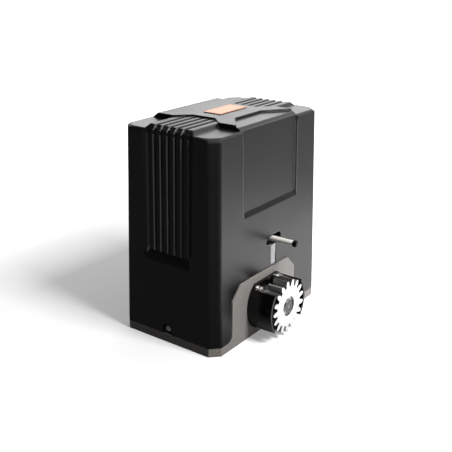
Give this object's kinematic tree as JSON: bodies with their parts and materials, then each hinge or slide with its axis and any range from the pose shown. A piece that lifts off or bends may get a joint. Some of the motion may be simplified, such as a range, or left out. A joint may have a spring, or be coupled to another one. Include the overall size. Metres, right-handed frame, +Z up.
{
  "type": "sliding gate motor",
  "caption": "Electric sliding gate operator: ribbed moulded cover over a cast base, with a drive pinion in its guard and a swinging limit rod.",
  "frame": {"origin": "centre of the base's underside, where it stands on its foundation", "axes": "+Z up; the drive pinion faces -Y; the ribbed ends face +X and -X"},
  "size_m": [0.26, 0.2022, 0.298],
  "materials": {
    "casting_paint": "satin warm grey paint over cast aluminium",
    "cover_plastic": "fine-grained black moulding",
    "guard_plastic": "black moulding",
    "rod_steel": "polished bar",
    "zinc_steel": "bright zinc plating",
    "machined_steel": "turned and ground",
    "cast_aluminium": "bare die casting",
    "bronze": "cast and machined bronze",
    "laminations": "stacked and varnished sheets",
    "copper_wire": "varnished windings",
    "black_rubber": "moulded rubber",
    "black_plastic": "moulded plastic",
    "board_green": "solder mask",
    "white_plastic": "moulded plastic",
    "relay_plastic": "moulded plastic",
    "gasket_fibre": "pressed fibre and rubber sheet",
    "label_metal": "plain copper-coloured plate"
  },
  "bodies": {
    "housing": {"base_casting": "casting_paint", "gearbox_gasket": "gasket_fibre", "gearbox_cover": "cast_aluminium", "gearbox_screws": "zinc_steel", "output_bearing_outers": "machined_steel", "output_seal": "black_rubber", "pinion_guard": "guard_plastic", "guard_screws": "zinc_steel", "guard_washers": "zinc_steel", "worm_bearing_outers": "machined_steel", "worm_seal": "black_rubber", "lower_shield": "cast_aluminium", "stator_core": "laminations", "windings": "copper_wire", "upper_shield": "cast_aluminium", "tie_bolts": "zinc_steel", "limit_bracket": "zinc_steel", "pivot_pin": "machined_steel", "centring_spring": "machined_steel", "microswitches": "black_plastic", "switch_screws": "zinc_steel", "board_bracket": "zinc_steel", "control_board": "board_green", "board_spacers": "white_plastic", "board_screws": "zinc_steel", "bracket_screws": "zinc_steel", "relays": "relay_plastic", "terminal_block": "board_green", "transformer_core": "laminations", "transformer_coil": "copper_wire", "transformer_strap": "zinc_steel", "run_capacitor": "white_plastic", "capacitor_clamp": "zinc_steel", "clamp_screw": "zinc_steel", "cable_grommet": "black_rubber", "cover": "cover_plastic", "cover_screws": "zinc_steel", "label_plate": "label_metal"},
    "output": {"output_shaft": "machined_steel", "pinion_key": "machined_steel", "wheel_key": "machined_steel", "pinion_ring": "machined_steel", "drive_pinion": "zinc_steel", "worm_wheel": "bronze", "spacer_sleeve": "machined_steel", "output_bearing_inners": "machined_steel"},
    "rotor": {"worm_shaft": "machined_steel", "rotor_core": "laminations", "worm_bearing_inners": "machined_steel"},
    "limit_lever": {"lever_hub": "black_plastic", "limit_rod": "rod_steel", "rod_cap": "black_plastic"},
    "left_button": {"left_plunger": "white_plastic"},
    "right_button": {"right_plunger": "white_plastic"}
  },
  "joints": [
    {"name": "output_spin", "type": "hinge", "parent": "housing", "child": "output", "pos_m": [-0.0158, -0.1, 0.0445], "axis": [0, 1, 0], "continuous": true},
    {"name": "rotor_spin", "type": "hinge", "parent": "housing", "child": "rotor", "pos_m": [0.0242, 0.006, 0.1], "axis": [0, 0, 1], "continuous": true},
    {"name": "limit_swing", "type": "hinge", "parent": "housing", "child": "limit_lever", "pos_m": [0.00685, -0.057, 0.127], "axis": [0, 0, 1], "range_deg": [-25, 25], "stiffness_Nm_per_rad": 0.3},
    {"name": "left_switch_press", "type": "slide", "parent": "housing", "child": "left_button", "axis": [-1, 0, 0], "range_m": [0, 0.0012], "stiffness_N_per_m": 3, "springref_m": -0.002},
    {"name": "right_switch_press", "type": "slide", "parent": "housing", "child": "right_button", "axis": [1, 0, 0], "range_m": [0, 0.0012], "stiffness_N_per_m": 3, "springref_m": -0.002}
  ],
  "couplings": [
    {"joint": "rotor_spin", "follows": "output_spin", "ratio": 28}
  ]
}
